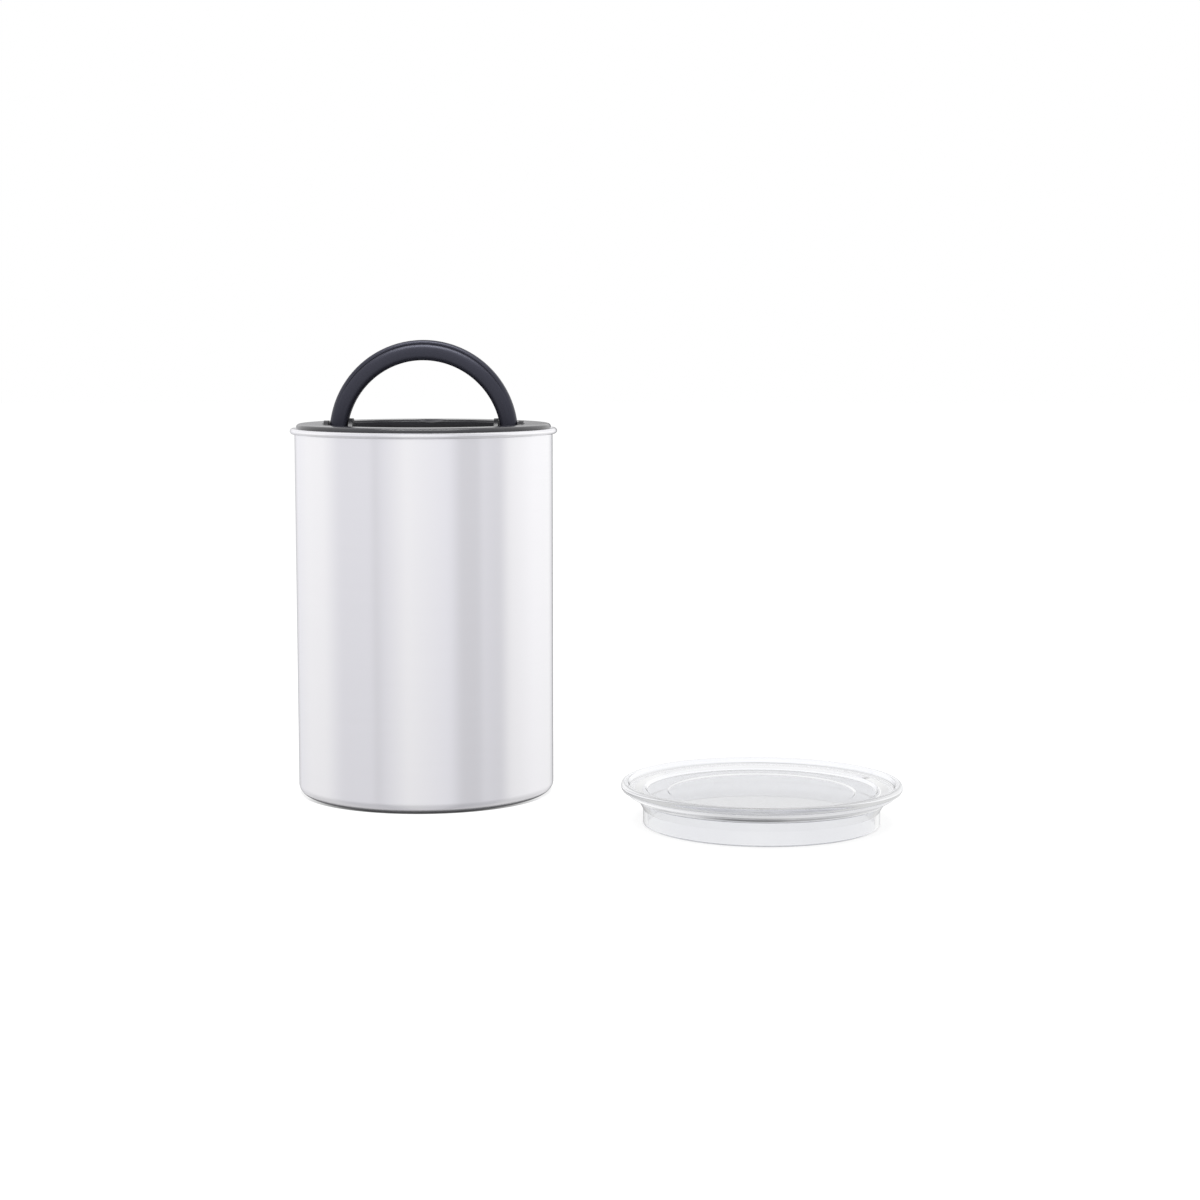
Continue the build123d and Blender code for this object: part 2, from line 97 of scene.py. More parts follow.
def held_outline(runs, hold, closed):
    """Joins runs of points, with two extra points on each long straight between them.

    The extra points lie a short distance, hold, from its ends, so that shading stays flat
    along a straight side and turns only in the round at its end.
    """
    points = np.concatenate(runs)
    following = np.roll(points, -1, axis=0) if closed else points[1:]
    leading = points if closed else points[:-1]
    gap = following - leading
    length = np.linalg.norm(gap, axis=1, keepdims=True)
    long_side = length[:, 0] > 4 * hold
    step = np.where(length > 0, gap / np.maximum(length, 1e-12), 0) * hold
    triples = np.stack([leading, leading + step, following - step], axis=1)
    keep = np.stack([np.ones_like(long_side), long_side, long_side], axis=1)
    joined = triples[keep]
    return joined if closed else np.concatenate([joined, points[-1:]])


def rounded_outline(corners, arc_steps, hold):
    """Open outline through corners of (radius, height, rounding), each rounded by its own arc.

    Its two ends have no rounding.
    """
    places = [corner[:2] for corner in corners]
    runs = []
    for index, (across, up, rounding) in enumerate(corners):
        if rounding:
            before, after = places[index - 1], places[index + 1]
            runs.append(corner_arc(before, (across, up), after, rounding, arc_steps))
        else:
            runs.append(np.array([[across, up]]))
    return held_outline(runs, hold, closed=False)


def add_mesh(name, points, quads, sharp_degrees):
    """Mesh object from arrays: doubles at the poles merged, normals outwards, smooth."""
    mesh = bpy.data.meshes.new(name)
    mesh.from_pydata(points, [], quads)
    piece = bpy.data.objects.new(name, mesh)
    bpy.context.collection.objects.link(piece)
    shape = bmesh.new()
    shape.from_mesh(mesh)
    bmesh.ops.remove_doubles(shape, verts=shape.verts, dist=1e-6)
    bmesh.ops.dissolve_degenerate(shape, edges=shape.edges, dist=1e-7)
    bmesh.ops.recalc_face_normals(shape, faces=shape.faces)
    shape.to_mesh(mesh)
    shape.free()
    mesh.shade_smooth()
    mesh.set_sharp_from_angle(angle=radians(sharp_degrees))
    return piece


def grid_quads(rows, columns, close_rows):
    """Corner numbers of every quad of a rows by columns grid, wrapped where it closes.

    The columns always close on themselves, and the rows do if close_rows says so.
    """
    row = np.arange(rows if close_rows else rows - 1)[:, None]
    column = np.arange(columns)[None, :]
    next_row, next_column = (row + 1) % rows, (column + 1) % columns
    corners = [
        row * columns + column,
        row * columns + next_column,
        next_row * columns + next_column,
        next_row * columns + column,
    ]
    return np.stack(corners, axis=-1).reshape(-1, 4).tolist()


def turned_grid(outline, steps, centre=(0.0, 0.0)):
    """Surface of revolution: (radius cos a, radius sin a, height) for a full turn of a."""
    angles = np.linspace(0, 2 * pi, steps, endpoint=False)
    across, up = outline[:, :1], outline[:, 1:]
    x = centre[0] + across * np.cos(angles)
    y = centre[1] + across * np.sin(angles)
    return np.stack([x, y, up + np.zeros(steps)], axis=-1)


def grid_piece(name, grid, close_rows, sharp_degrees=40):
    """Mesh object from a grid of points whose columns close on themselves."""
    rows, columns = grid.shape[:2]
    quads = grid_quads(rows, columns, close_rows)
    return add_mesh(name, grid.reshape(-1, 3), quads, sharp_degrees)


def arc_points(centre, radius, start_degrees, sweep_degrees, steps):
    """Points of a circular arc: the centre plus the radius along evenly turning directions."""
    angles = np.radians(np.linspace(start_degrees, start_degrees + sweep_degrees, steps + 1))
    return np.array(centre) + radius * np.stack([np.cos(angles), np.sin(angles)], axis=1)


curl_centre = (bore_radius + curl_radius, rim_top - curl_radius)
corner_centre = (body_radius - base_corner_radius, base_corner_radius)
inner_corner_radius = base_corner_radius - sheet_thickness
curl_inside = curl_radius - sheet_thickness
curl_steps = 40
corner_steps = 14
shell_outline = held_outline(
    [
        np.array([[0, 0]]),
        arc_points(corner_centre, base_corner_radius, -90, 90, corner_steps),
        arc_points(curl_centre, curl_inside, 180, -curl_sweep_degrees, curl_steps),
        arc_points(curl_centre, curl_radius, 180, -curl_sweep_degrees, curl_steps)[::-1],
        arc_points(corner_centre, inner_corner_radius, 0, -90, corner_steps),
        np.array([[0, sheet_thickness]]),
    ],
    hold=0.0004,
    closed=False,
)
shell_grid = turned_grid(shell_outline, around_steps)
canister = grid_piece("steel_canister", shell_grid, close_rows=False)


def new_material(name, **shader_values):
    """Material with one Principled shader whose own sockets hold the given values."""
    material = bpy.data.materials.new(name)
    material.use_nodes = True
    shader = material.node_tree.nodes["Principled BSDF"]
    for socket, value in shader_values.items():
        shader.inputs[socket.replace("_", " ")].default_value = value
    return material, material.node_tree, shader


def noise(tree, scale, stretch=(1, 1, 1), detail=3.0, rough=0.5):
    """Noise texture on Object coordinates, stretched by a Mapping node."""
    coordinates = tree.nodes.new("ShaderNodeTexCoord")
    mapping = tree.nodes.new("ShaderNodeMapping")
    mapping.inputs["Scale"].default_value = stretch
    texture = tree.nodes.new("ShaderNodeTexNoise")
    texture.inputs["Scale"].default_value = scale
    texture.inputs["Detail"].default_value = detail
    texture.inputs["Roughness"].default_value = rough
    tree.links.new(coordinates.outputs["Object"], mapping.inputs["Vector"])
    tree.links.new(mapping.outputs["Vector"], texture.inputs["Vector"])
    return texture.outputs["Fac"]


def spread(tree, source, low, high, from_low=0.3, from_high=0.7):
    """Maps a texture's middle range onto low to high."""
    node = tree.nodes.new("ShaderNodeMapRange")
    node.inputs["From Min"].default_value = from_low
    node.inputs["From Max"].default_value = from_high
    node.inputs["To Min"].default_value = low
    node.inputs["To Max"].default_value = high
    tree.links.new(source, node.inputs["Value"])
    return node.outputs["Result"]


def calc(tree, operation, *values, clamp=False):
    """One Math node, each of whose values is an output or a number."""
    node = tree.nodes.new("ShaderNodeMath")
    node.operation = operation
    node.use_clamp = clamp
    for socket, value in zip(node.inputs, values):
        if isinstance(value, (int, float)):
            socket.default_value = value
        else:
            tree.links.new(value, socket)
    return node.outputs["Value"]


def shade_between(tree, shader, source, dark, light):
    """Runs the base colour from dark to light along a value."""
    mix = tree.nodes.new("ShaderNodeMix")
    mix.data_type = "RGBA"
    mix.inputs["A"].default_value = (*dark, 1)
    mix.inputs["B"].default_value = (*light, 1)
    tree.links.new(source, mix.inputs["Factor"])
    tree.links.new(mix.outputs["Result"], shader.inputs["Base Color"])


def add_bump(tree, shader, height, distance):
    """Raises the surface by a height map; distance is its full depth in metres."""
    bump = tree.nodes.new("ShaderNodeBump")
    bump.inputs["Distance"].default_value = distance
    bump.inputs["Strength"].default_value = 1.0
    tree.links.new(height, bump.inputs["Height"])
    tree.links.new(bump.outputs["Normal"], shader.inputs["Normal"])


def brushed_steel():
    """Stainless sheet, brushed round its axis, so that reflections smear up and down."""
    material, tree, shader = new_material(
        "brushed_stainless", Metallic=1.0, Anisotropic=0.9, Anisotropic_Rotation=0.25
    )
    tangent = tree.nodes.new("ShaderNodeTangent")
    tangent.direction_type = "RADIAL"
    tangent.axis = "Z"
    tree.links.new(tangent.outputs["Tangent"], shader.inputs["Tangent"])
    scratches = noise(tree, 1.0, stretch=(25, 25, 3000), detail=4.0, rough=0.6)
    smears = noise(tree, 9.0, detail=2.0)
    fine_rough = spread(tree, scratches, low=0.19, high=0.23)
    smeared_rough = spread(tree, smears, low=0.0, high=0.03)
    rough = calc(tree, "ADD", fine_rough, smeared_rough)
    tree.links.new(rough, shader.inputs["Roughness"])
    dark, light = (0.855, 0.847, 0.882), (0.915, 0.907, 0.942)
    shade_between(tree, shader, scratches, dark, light)
    add_bump(tree, shader, scratches, distance=0.0000012)
    return material


canister.data.materials.append(brushed_steel())
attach(canister, "canister")
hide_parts("canister_shell")

# The top ring is a glossy black moulding, nearly flat, that covers the inner lid's flange and
# laps down round it. Its inner edge has a fine step, and a finger notch at the back.
ring_low, ring_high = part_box("inner_lid_top_ring")
ring_radius = (ring_high[0] - ring_low[0]) / 2
ring_top = ring_high[2]
ring_foot = ring_low[2]
ring_width = 0.0132
ring_thickness = 0.0028
ring_inner = ring_radius - ring_width
ring_seat = ring_top - ring_thickness
ring_dome = 0.0002
ring_edge_round = 0.0015
ring_lip = 0.00025
ring_step_width = 0.0006
ring_step_depth = 0.001
ring_lap_thickness = 0.0007
notch_half_width = 0.0086
notch_depth = 0.0016
notch_reach = 0.0034
ring_top_steps = 44
ring_lip_steps = 5
ring_edge_steps = 12
ring_around_steps = 720


def top_ring():
    """Profile of the ring turned about the axis, then lowered to the notch's round scoop.

    The scoop's height is the ring's top, less a depth that fades outwards along a smooth
    step u^2 (3 - 2u) over the notch's reach, plus radius - sqrt(radius^2 - x^2) across it.
    """
    step_radius = ring_inner + ring_step_width
    first, last = step_radius + ring_lip, ring_radius - ring_edge_round
    across = np.linspace(first, last, ring_top_steps)
    middle, half = (first + last) / 2, (last - first) / 2
    crown = ring_top - ring_dome * ((across - middle) / half) ** 2
    edge_top = ring_top - ring_dome
    step_z = ring_top - ring_step_depth
    step_lip = (ring_inner + ring_lip, step_z - ring_lip)
    top_lip = (first, edge_top - ring_lip)
    top_edge = (last, edge_top - ring_edge_round)
    outline = np.concatenate(
        [
            [(ring_inner, ring_seat), (ring_inner, step_z - ring_lip)],
            arc_points(step_lip, ring_lip, 180, -90, ring_lip_steps),
            [(step_radius, step_z)],
            arc_points(top_lip, ring_lip, 180, -90, ring_lip_steps),
            np.stack([across, crown], axis=1)[1:-1],
            arc_points(top_edge, ring_edge_round, 90, -90, ring_edge_steps),
            [(ring_radius, ring_foot), (ring_radius - ring_lap_thickness, ring_foot)],
            [(ring_radius - ring_lap_thickness, ring_seat)],
        ]
    )
    held = held_outline([outline], hold=0.0002, closed=True)
    grid = turned_grid(held, ring_around_steps)
    x, y, z = grid[..., 0], grid[..., 1], grid[..., 2]
    scoop_radius = (notch_half_width**2 + notch_depth**2) / (2 * notch_depth)
    inside = (y > 0) & (abs(x) < notch_half_width)
    sag = scoop_radius - np.sqrt(scoop_radius**2 - np.where(inside, x, 0) ** 2)
    outward = np.clip((np.hypot(x, y) - ring_inner) / notch_reach, 0, 1)
    depth = notch_depth * (1 - outward**2 * (3 - 2 * outward))
    grid[..., 2] = np.where(inside, np.minimum(z, ring_top - depth + sag), z)
    return grid_piece("gloss_top_ring", grid, close_rows=True)


mottling_lift = 1.35


def black_plastic(name, colour, roughness, grain_depth, grain_scale, sheen=(1, 1, 1)):
    """Moulded black plastic: faint mottling in its gloss, and a fine grain from the mould.

    The roughness is given as its lowest and highest, the grain's depth in metres, and the
    sheen as the tint of what the surface mirrors.
    """
    material, tree, shader = new_material(name, IOR=1.5, Specular_Tint=(*sheen, 1))
    wear = noise(tree, 60.0, detail=4.0, rough=0.6)
    grain = noise(tree, grain_scale, detail=2.0)
    tree.links.new(spread(tree, wear, *roughness), shader.inputs["Roughness"])
    lighter = tuple(mottling_lift * channel for channel in colour)
    shade_between(tree, shader, wear, colour, lighter)
    add_bump(tree, shader, grain, grain_depth)
    return material


ring = top_ring()
ring.data.materials.append(
    black_plastic(
        "gloss_black_ring",
        colour=(0.034, 0.034, 0.038),
        roughness=(0.1, 0.16),
        grain_depth=0.000002,
        grain_scale=900,
    )
)
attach(ring, "inner_lid")
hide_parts("inner_lid_top_ring")


# The tray under it is a satin black moulding with the handle's recess and its ears. The base
# plate, the valve's sleeve, nut and bridge are moulded from the same plastic.
def dress(node, material):
    """Gives a CAD node its finish."""
    for slot in frame["nodes"][node].material_slots:
        slot.material = material


satin_plastic = black_plastic(
    "satin_black",
    colour=(0.016, 0.016, 0.018),
    roughness=(0.26, 0.36),
    grain_depth=0.00001,
    grain_scale=2400,
)
for node in (
    "inner_lid_tray",
    "inner_lid_base_plate",
    "valve_housing",
    "valve_nut",
    "valve_bridge",
):
    dress(node, satin_plastic)

# The handle is a half-round bail of semi-gloss plastic with a blue-black tint, moulded in one
# piece. A groove just inside its outer edge sets off a narrow rim from the softly crowned
# face, and each leg ends in a rounded foot that works as a cam under its pivot.
bail_low, bail_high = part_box("handle")
bail_radius = (bail_high[0] - bail_low[0]) / 2
bail_half_depth = (bail_high[1] - bail_low[1]) / 2
bail_top_thickness = 0.0098
bail_leg_thickness = 0.0082
foot_reach = 0.007
foot_nose = 0.0022
side_round = 0.0018
band_width = 0.0017
band_recess = 0.0018
groove_start = 0.00195
groove_depth = 0.0021
face_round = 0.0046
leg_side = 0.001
leg_round = 0.0052
inner_round = 0.0026
inner_drop = 0.0016
plain_face_start = 0.0023
groove_fade_low = 0.25
groove_fade_high = 0.8
boss_radius = 0.0046
boss_gap = 0.0011
boss_edge = 0.0003
boss_around_steps = 96
joints = frame["record"]["behaviour"]["joints"]
pivot_z = next(joint for joint in joints if joint["name"] == "handle_fold")["pos_m"][2]
arch_steps = 240
foot_steps = 12
round_points = 12
flat_points = 6
groove_corner = 0.0001


def quarter_round(inward, start, width, drop):
    """Rise of a quarter ellipse: 0 at its start, and drop once width further in."""
    share = np.clip((inward - start) / width, 0, 1)
    return drop * np.sqrt(1 - (1 - share) ** 2)


def bail_section():
    """Section at the crown: distance in from the outer edge, and two depths for each.

    The first depth has the groove: a rounded rim, a narrow step down, and a face that swells
    out of it. The second is one full round from the outer side, as on the legs. Both end in
    the same inner round. The points are closest together where the shape turns most.
    """
    turn = np.linspace(0, pi / 2, round_points)
    step_start, step_end = band_width, groove_start - groove_corner
    inner_start = bail_top_thickness - inner_round
    inward = np.concatenate(
        [
            band_width * (1 - np.cos(turn)),
            [step_end, groove_start],
            groove_start + face_round * (1 - np.cos(turn[1:])),
            np.linspace(groove_start + face_round, inner_start, flat_points)[1:],
            inner_start + inner_round * np.sin(turn[1:]),
        ]
    )
    half = bail_half_depth
    rim = half - band_recess - side_round + quarter_round(inward, 0, band_width, side_round)
    step = np.clip((inward - step_start) / (step_end - step_start), 0, 1)
    floor_depth = half - groove_depth
    rim_side = rim + (floor_depth - rim) * step
    face = floor_depth + quarter_round(inward, groove_start, face_round, groove_depth)
    grooved = np.where(inward < groove_start, rim_side, face)
    plain = leg_side + quarter_round(inward, 0, leg_round, half - leg_side)
    round_share = np.clip((inward - inner_start) / inner_round, 0, 1)
    lost = inner_drop * (1 - np.sqrt(1 - round_share**2))
    return inward, grooved - lost, plain - lost


def bail():
    """Carries the section up one leg, round the half circle and down the other leg.

    On the half circle the outer edge is at bail_radius from the pivot, and the inner edge
    is another circle, through the legs and the crown's underside, so the thickness is the
    distance between the two along each radius. Under the pivot the section's depth follows
    the cam: an arc about the pivot, a tangent straight, and an arc round the nose.
    """
    half, nose_drop = bail_half_depth, foot_reach - foot_nose
    taper = asin((half - foot_nose) / nose_drop)
    leg_x, top_z = bail_radius - bail_leg_thickness, bail_radius - bail_top_thickness
    centre_z = (top_z**2 - leg_x**2) / (2 * top_z)
    inner_radius = top_z - centre_z
    hip = half * np.exp(-1j * np.linspace(0, taper, foot_steps))
    toe = -1j * nose_drop + foot_nose * np.exp(-1j * np.linspace(taper, pi / 2, foot_steps))
    cam = np.concatenate([hip, toe])[::-1]
    angles = np.linspace(0, pi, arch_steps + 1)[1:-1]
    aside = centre_z * np.cos(angles)
    inner = centre_z * np.sin(angles) + np.sqrt(inner_radius**2 - aside**2)
    x = np.concatenate([np.full(len(cam), bail_radius), bail_radius * np.cos(angles)])
    x = np.concatenate([x, np.full(len(cam), -bail_radius)])
    z = np.concatenate([cam.imag, bail_radius * np.sin(angles), cam.imag[::-1]])
    depth_share = np.concatenate([cam.real, np.full(len(angles), half), cam.real[::-1]]) / half
    thickness = np.full(len(x), bail_leg_thickness)
    thickness[len(cam) : -len(cam)] = bail_radius - inner
    way_x = -x / bail_radius
    way_z = np.where(z > 0, -z / bail_radius, 0)
    inward, grooved, plain = bail_section()
    height = np.clip(z / bail_radius, 0, 1)[:, None]
    fade = np.clip((height - groove_fade_low) / (groove_fade_high - groove_fade_low), 0, 1)
    front = plain + (grooved - plain) * fade**2 * (3 - 2 * fade)
    past = np.maximum(inward - plain_face_start, 0)
    shrink = (thickness[:, None] - plain_face_start) / (bail_top_thickness - plain_face_start)
    reach = np.minimum(inward, plain_face_start) + past * shrink
    depth = np.concatenate([front, -front[:, ::-1]], axis=1)
    reach = np.concatenate([reach, reach[:, ::-1]], axis=1)
    grid = np.stack(
        [
            x[:, None] + way_x[:, None] * reach,
            depth * np.clip(depth_share, 0, 1)[:, None],
            pivot_z + z[:, None] + way_z[:, None] * reach,
        ],
        axis=-1,
    )
    return grid_piece("half_round_bail", grid, close_rows=False, sharp_degrees=50)


def pivot_boss(side):
    """Round boss on a leg's inner side: a (radius, reach along X) outline turned about X."""
    start = side * (bail_radius - bail_leg_thickness - boss_gap)
    end = start + side * 2 * boss_gap
    outline = rounded_outline(
        [(0, start, 0), (boss_radius, start, boss_edge), (boss_radius, end, 0), (0, end, 0)],
        arc_steps=4,
        hold=0.0002,
    )
    turned = turned_grid(outline, boss_around_steps)
    grid = np.stack([turned[..., 2], turned[..., 0], pivot_z + turned[..., 1]], axis=-1)
    name = "pivot_boss_right" if side > 0 else "pivot_boss_left"
    return grid_piece(name, grid, close_rows=False)


handle_plastic = black_plastic(
    "handle_black",
    colour=(0.014, 0.014, 0.021),
    roughness=(0.34, 0.42),
    grain_depth=0.000008,
    grain_scale=1800,
    sheen=(0.8, 0.82, 1.0),
)
handle = bail()
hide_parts("handle")
for piece in (handle, pivot_boss(1), pivot_boss(-1)):
    piece.data.materials.append(handle_plastic)
    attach(piece, "bail")


# The wiper gasket, the valve's disc and the flat seal are soft black silicone, matt from the
# mould and slightly dusty.
def silicone():
    """Matt black silicone with a faint bloom."""
    material, tree, shader = new_material("black_silicone", IOR=1.42)
    bloom = noise(tree, 180.0, detail=5.0, rough=0.65)
    tree.links.new(spread(tree, bloom, low=0.5, high=0.68), shader.inputs["Roughness"])
    dark, light = (0.022, 0.022, 0.024), (0.05, 0.05, 0.052)
    shade_between(tree, shader, bloom, dark, light)
    add_bump(tree, shader, bloom, distance=0.00003)
    return material


silicone_black = silicone()
for node in ("wiper_gasket", "valve_housing_seal", "valve_disc"):
    dress(node, silicone_black)


# The pins, stem, spring, clip and screws are bright turned or drawn stainless wire, with
# faint lines left by the tool.
def bright_steel():
    """Turned stainless steel with fine tool lines."""
    material, tree, shader = new_material("bright_steel", Metallic=1.0)
    lines = noise(tree, 1500.0, detail=3.0)
    tree.links.new(spread(tree, lines, low=0.14, high=0.3), shader.inputs["Roughness"])
    dark, light = (0.5, 0.5, 0.52), (0.66, 0.66, 0.68)
    shade_between(tree, shader, lines, dark, light)
    add_bump(tree, shader, lines, distance=0.000003)
    return material


steel_bright = bright_steel()
for node in (
    "handle_pin_right",
    "handle_pin_left",
    "valve_stem",
    "valve_spring",
    "valve_clip",
    "base_plate_screws",
):
    dress(node, steel_bright)

# The outer lid is a clear moulding that lies beside the canister, right way up. It has a
# thick rounded flange, a dished top with a shallow ring, and a stepped skirt that fits the
# canister's mouth.
lid_low, lid_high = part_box("clear_lid")
lid_centre = ((lid_low[0] + lid_high[0]) / 2, (lid_low[1] + lid_high[1]) / 2)
lid_top = lid_high[2]
lid_rim = (lid_high[0] - lid_low[0]) / 2
lid_wall = 0.002
flange_round = 0.0016
lid_round = 0.0007
flange_thickness = 0.0035
flange_bottom = lid_top - flange_thickness
neck_drop = 0.002
neck_top = flange_bottom - neck_drop
dish_depths = (0.0027, 0.0015, 0.0007)
shoulder = lid_top - dish_depths[0]
step_level = shoulder - dish_depths[1]
panel_level = step_level - dish_depths[2]
ceiling = panel_level - lid_wall
panel_edge, step_inner = 0.0425, 0.0433
step_outer, shoulder_inner = 0.0527, 0.0535
lip_width, lip_slope = 0.0034, 0.0007
skirt_straight = 0.0069
skirt_radius = 0.0545
neck_radius = 0.0583
skirt_inner = skirt_radius - lid_wall
ceiling_share = (ceiling - skirt_straight) / (neck_top - skirt_straight)
ceiling_radius = skirt_inner + ceiling_share * (neck_radius - skirt_radius)
mouth_clearance = 0.0004
step_radius = bore_radius - mouth_clearance
lip_inner = lid_rim - lip_width
lid_outline = rounded_outline(
    [
        (0, panel_level, 0),
        (panel_edge, panel_level, lid_round),
        (step_inner, step_level, lid_round),
        (step_outer, step_level, lid_round),
        (shoulder_inner, shoulder, lid_round),
        (lip_inner - lip_slope, shoulder, lid_round),
        (lip_inner, lid_top, lid_round),
        (lid_rim, lid_top, flange_round),
        (lid_rim, flange_bottom, flange_round),
        (step_radius, flange_bottom, 0),
        (step_radius, neck_top, lid_round),
        (neck_radius, neck_top, 0),
        (skirt_radius, skirt_straight, lid_round),
        (skirt_radius, 0, lid_round),
        (skirt_inner, 0, lid_round),
        (skirt_inner, skirt_straight, lid_round),
        (ceiling_radius, ceiling, lid_round),
        (0, ceiling, 0),
    ],
    arc_steps=8,
    hold=0.0003,
)
lid_grid = turned_grid(lid_outline, around_steps, lid_centre)
clear_lid = grid_piece("clear_outer_lid", lid_grid, close_rows=False)


def clear_plastic():
    """Clear moulded plastic with a trace of flow marks and hairline scratches."""
    material, tree, shader = new_material("clear_plastic", IOR=1.5, Transmission_Weight=1.0)
    flow = noise(tree, 35.0, detail=3.0)
    tree.links.new(spread(tree, flow, low=0.0, high=0.03), shader.inputs["Roughness"])
    dark, light = (0.85, 0.857, 0.885), (0.88, 0.887, 0.91)
    shade_between(tree, shader, flow, dark, light)
    add_bump(tree, shader, flow, distance=0.000005)
    return material


clear_lid.data.materials.append(clear_plastic())
# The brushed steel would smear the lid's reflection over its side, so it doesn't mirror it.
clear_lid.visible_glossy = False
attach(clear_lid, "outer_lid")
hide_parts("clear_lid")

# The studio is a white sweep under a soft dome. The steel shows the dome's greyer stretches
# as soft upright bands, and the floor carries a painted contact shadow only close to what
# stands on it. One lamp overhead is flagged off the steel and the clear lid.
floor_half_width = 6.0
floor_corners = [
    (-floor_half_width, -floor_half_width, 0),
    (floor_half_width, -floor_half_width, 0),
    (floor_half_width, floor_half_width, 0),
    (-floor_half_width, floor_half_width, 0),
]
floor_mesh = bpy.data.meshes.new("studio_floor")
floor_mesh.from_pydata(floor_corners, [], [(0, 1, 2, 3)])
floor = bpy.data.objects.new("studio_floor", floor_mesh)
bpy.context.collection.objects.link(floor)
floor_albedo = (0.8, 0.8, 0.8, 1)
floor_material, floor_tree, floor_shader = new_material(
    "pale_floor", Base_Color=floor_albedo, Roughness=0.9, Specular_IOR_Level=0.0
)
floor_mesh.materials.append(floor_material)


def ray_kinds(tree):
    """1 or 0 for the camera, for light that came through the clear lid, and for reflections."""
    path = tree.nodes.new("ShaderNodeLightPath")
    through = path.outputs["Is Transmission Ray"]
    mirrored = calc(tree, "SUBTRACT", path.outputs["Is Glossy Ray"], through, clamp=True)
    return path.outputs["Is Camera Ray"], through, mirrored


def mixed_shader(tree, share, first, second):
    """Runs from the first shader to the second along a share."""
    node = tree.nodes.new("ShaderNodeMixShader")
    tree.links.new(share, node.inputs["Fac"])
    tree.links.new(first, node.inputs[1])
    tree.links.new(second, node.inputs[2])
    return node.outputs["Shader"]


# Painted contact shadow: the floor's white glow is darkened by ambient occlusion in the last
# millimetres before an edge that stands on it, most at the canister's front, and deeper still
# where the steel mirrors it. The steel mirrors the dome in place of the open floor.
contact_reach = 0.0026
contact_level = 0.03
contact_closed, contact_open = 0.26, 0.6
mirrored_deeper = -0.18
front_edge, front_end = -0.92, -0.35
beside_level = 0.92
near_canister = 0.075
lid_zone_edge = 0.01
by_lid_level = 0.8
seen_glow = 0.88
seen_albedo = 0.2
painted_shadow_occlusion = floor_tree.nodes.new("ShaderNodeAmbientOcclusion")
painted_shadow_occlusion.inputs["Distance"].default_value = contact_reach
floor_place = floor_tree.nodes.new("ShaderNodeTexCoord").outputs["Object"]
from_axis = floor_tree.nodes.new("ShaderNodeVectorMath")
from_axis.operation = "LENGTH"
floor_tree.links.new(floor_place, from_axis.inputs[0])
distance = from_axis.outputs["Value"]
floor_split = floor_tree.nodes.new("ShaderNodeSeparateXYZ")
floor_tree.links.new(floor_place, floor_split.inputs["Vector"])
frontness = calc(floor_tree, "DIVIDE", floor_split.outputs["Y"], distance)
by_camera, by_glass, by_mirror = ray_kinds(floor_tree)
# The painted shadow is made deeper where the steel mirrors the floor.
deeper = calc(floor_tree, "MULTIPLY", by_mirror, mirrored_deeper)
openness = calc(floor_tree, "ADD", painted_shadow_occlusion.outputs["AO"], deeper)
open_share = spread(floor_tree, openness, contact_level, 1.0, contact_closed, contact_open)
# For the camera the painted shadow is kept to the canister's front and fades out beside it.
off_front = spread(floor_tree, frontness, 0.0, beside_level, front_edge, front_end)
beside = calc(floor_tree, "MULTIPLY", by_camera, off_front)
lid_zone = (near_canister, near_canister + lid_zone_edge)
by_lid = spread(floor_tree, distance, 0.0, by_lid_level, *lid_zone)
# The painted contact shadow: the share of the floor's glow left where occlusion darkens it.
painted_contact_shadow = calc(floor_tree, "MAXIMUM", open_share, calc(floor_tree, "MAXIMUM", beside, by_lid))
seen_diffuse = floor_tree.nodes.new("ShaderNodeBsdfDiffuse")
seen_diffuse.inputs["Color"].default_value = (seen_albedo, seen_albedo, seen_albedo, 1)
glow = floor_tree.nodes.new("ShaderNodeEmission")
floor_tree.links.new(calc(floor_tree, "MULTIPLY", painted_contact_shadow, seen_glow), glow.inputs["Strength"])
seen_floor = floor_tree.nodes.new("ShaderNodeAddShader")
floor_tree.links.new(seen_diffuse.outputs["BSDF"], seen_floor.inputs[0])
floor_tree.links.new(glow.outputs["Emission"], seen_floor.inputs[1])
unseen = floor_tree.nodes.new("ShaderNodeBsdfTransparent")
glass_or_mirror = calc(floor_tree, "ADD", by_glass, by_mirror)
direct = calc(floor_tree, "ADD", by_camera, glass_or_mirror, clamp=True)
lit_floor = mixed_shader(
    floor_tree, direct, floor_shader.outputs["BSDF"], seen_floor.outputs["Shader"]
)
left_out = calc(floor_tree, "MULTIPLY", by_mirror, painted_contact_shadow)
whole_floor = mixed_shader(floor_tree, left_out, lit_floor, unseen.outputs["BSDF"])
floor_tree.links.new(whole_floor, floor_tree.nodes["Material Output"].inputs["Surface"])

world = bpy.data.worlds.new("soft_dome")
bpy.context.scene.world = world
world.use_nodes = True
sky = world.node_tree
split = sky.nodes.new("ShaderNodeSeparateXYZ")
sky.links.new(sky.nodes.new("ShaderNodeTexCoord").outputs["Generated"], split.inputs["Vector"])
towards_front = calc(sky, "MULTIPLY", split.outputs["Y"], -1.0)
bearing = calc(sky, "ARCTAN2", split.outputs["X"], towards_front)
bands = sky.nodes.new("ShaderNodeValToRGB")
sky.links.new(spread(sky, bearing, 0, 1, -pi, pi), bands.inputs["Fac"])
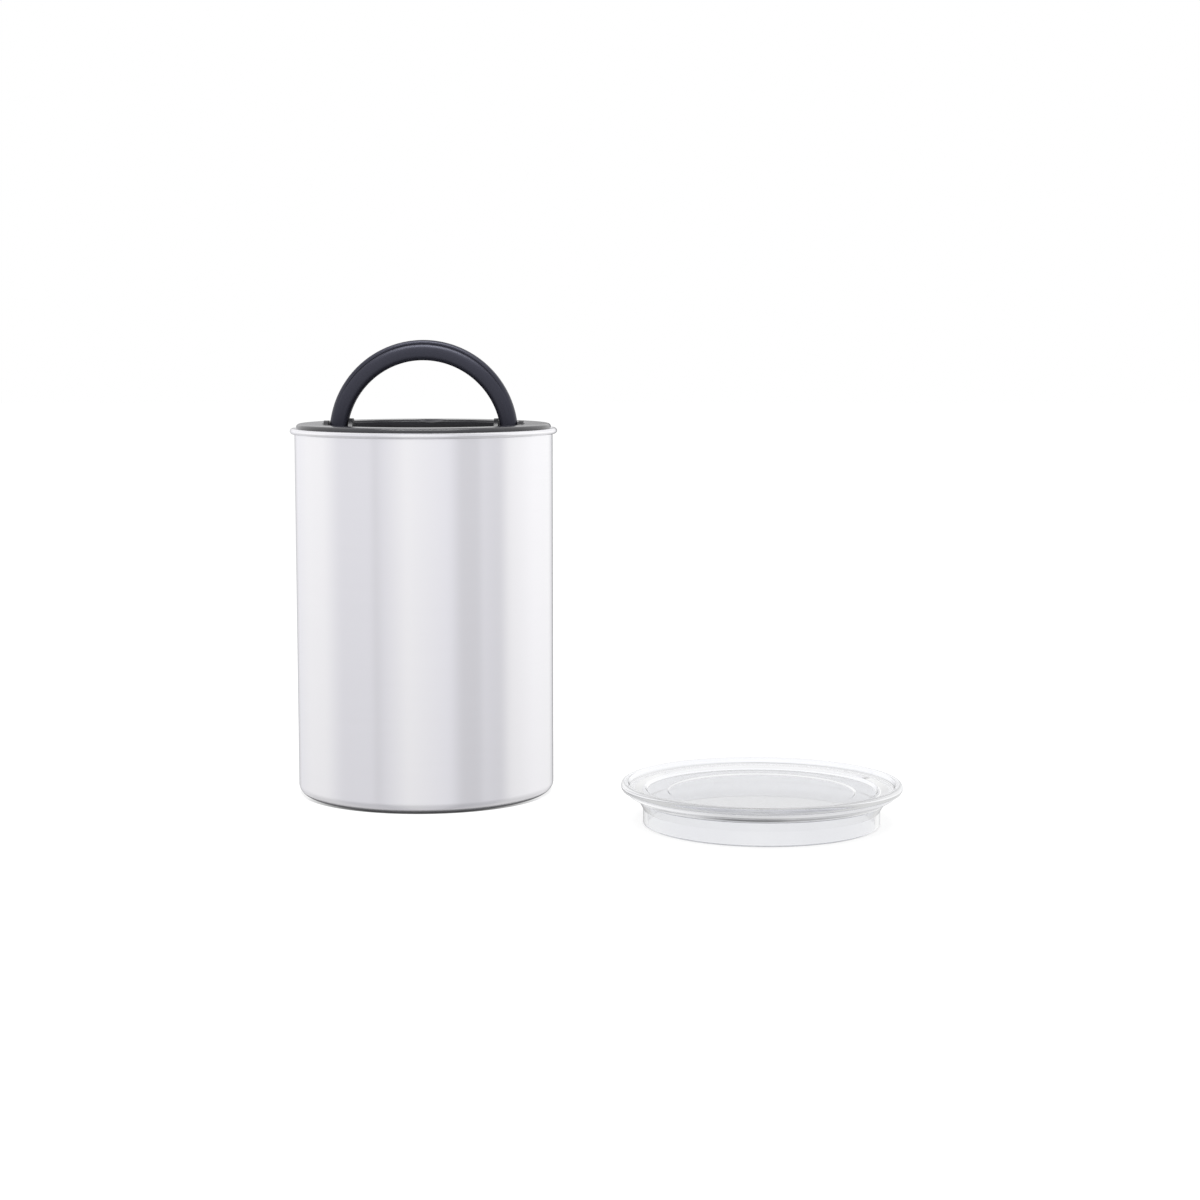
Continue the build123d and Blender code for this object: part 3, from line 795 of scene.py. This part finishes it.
# The dome's level at bearings in degrees, from 0 at the front to 90 on the clear lid's side.
band_stops = [
    (-180, 0.36),
    (-174, 0.46),
    (-168, 0.5),
    (-159, 0.7),
    (-150, 0.9),
    (-122, 1.0),
    (-97, 1.0),
    (-76, 0.84),
    (-46, 0.85),
    (-40, 0.77),
    (-33, 0.85),
    (-12, 1.0),
    (25, 0.91),
    (37, 0.74),
    (52, 0.73),
    (57, 0.82),
    (74, 0.77),
    (86, 0.98),
    (118, 1.07),
    (152, 1.03),
    (166, 0.7),
    (172, 0.2),
    (178, 0.2),
]
cool_below, cool, warm = 0.95, 1.02, 0.99
elements = bands.color_ramp.elements
for degrees, level in band_stops[1:]:
    blue = level * (cool if level < cool_below else warm)
    elements.new((degrees + 180) / 360).color = (level, level, blue, 1)
first_level = band_stops[0][1]
elements[0].color = elements[-1].color = (first_level, first_level, first_level, 1)

# The camera sees plain white. Reflections see the bands, brightest at the horizon, and white
# high and low at the back. Through the clear lid the dome is dim overhead. Other light is grey.
height = split.outputs["Z"]
lower_half = spread(sky, height, low=0.68, high=1.14, from_low=-0.42, from_high=0.06)
upper_half = spread(sky, height, low=1.0, high=0.9, from_low=0.1, from_high=0.5)
fall = calc(sky, "MULTIPLY", lower_half, upper_half)
banded = sky.nodes.new("ShaderNodeVectorMath")
banded.operation = "SCALE"
sky.links.new(bands.outputs["Color"], banded.inputs[0])
sky.links.new(fall, banded.inputs["Scale"])
ceiling_level = spread(sky, height, low=1.0, high=0.35, from_low=0.2, from_high=0.7)
dome_level = 0.72


def world_choice(share, first, second):
    """Runs from the first colour to the second; each is an output or a grey level."""
    node = sky.nodes.new("ShaderNodeMix")
    node.data_type = "RGBA"
    sky.links.new(share, node.inputs["Factor"])
    for socket, value in (("A", first), ("B", second)):
        if isinstance(value, float):
            node.inputs[socket].default_value = (value, value, value, 1)
        else:
            sky.links.new(value, node.inputs[socket])
    return node.outputs["Result"]


by_camera, by_glass, by_mirror = ray_kinds(sky)
over_horizon = spread(sky, height, low=0.0, high=1.0, from_low=0.07, from_high=0.17)
far_below = spread(sky, height, low=1.0, high=0.0, from_low=-0.5, from_high=-0.3)
off_horizon = calc(sky, "MAXIMUM", over_horizon, far_below)
at_the_back = spread(sky, split.outputs["Y"], low=0.0, high=1.0, from_low=0.6, from_high=0.85)
behind = calc(sky, "MULTIPLY", off_horizon, at_the_back)
mirrored_dome = world_choice(behind, banded.outputs["Vector"], 1.0)
lit = world_choice(by_mirror, dome_level, mirrored_dome)
through_glass = world_choice(by_glass, lit, ceiling_level)
sky.links.new(
    world_choice(by_camera, through_glass, 1.0), sky.nodes["Background"].inputs["Color"]
)

lamp_width, lamp_depth, lamp_radiance = 1.3, 0.8, 8.5
lamp_place = (0.05, -0.6, 1.5)
lamp_tilt_degrees = -20
lamp_data = bpy.data.lights.new("overhead_lamp", "AREA")
lamp_data.shape = "RECTANGLE"
lamp_data.size, lamp_data.size_y = lamp_width, lamp_depth
lamp_data.energy = pi * lamp_width * lamp_depth * lamp_radiance
lamp = bpy.data.objects.new("overhead_lamp", lamp_data)
lamp.location = lamp_place
lamp.rotation_euler = (radians(lamp_tilt_degrees), 0, 0)
bpy.context.collection.objects.link(lamp)
flagged = bpy.data.collections.new("flagged_from_the_lamp")
flagged.objects.link(canister)
flagged.objects.link(clear_lid)
lamp.light_linking.receiver_collection = flagged
for flag in flagged.collection_objects:
    flag.light_linking.link_state = "EXCLUDE"

bpy.context.scene.view_settings.view_transform = "Standard"
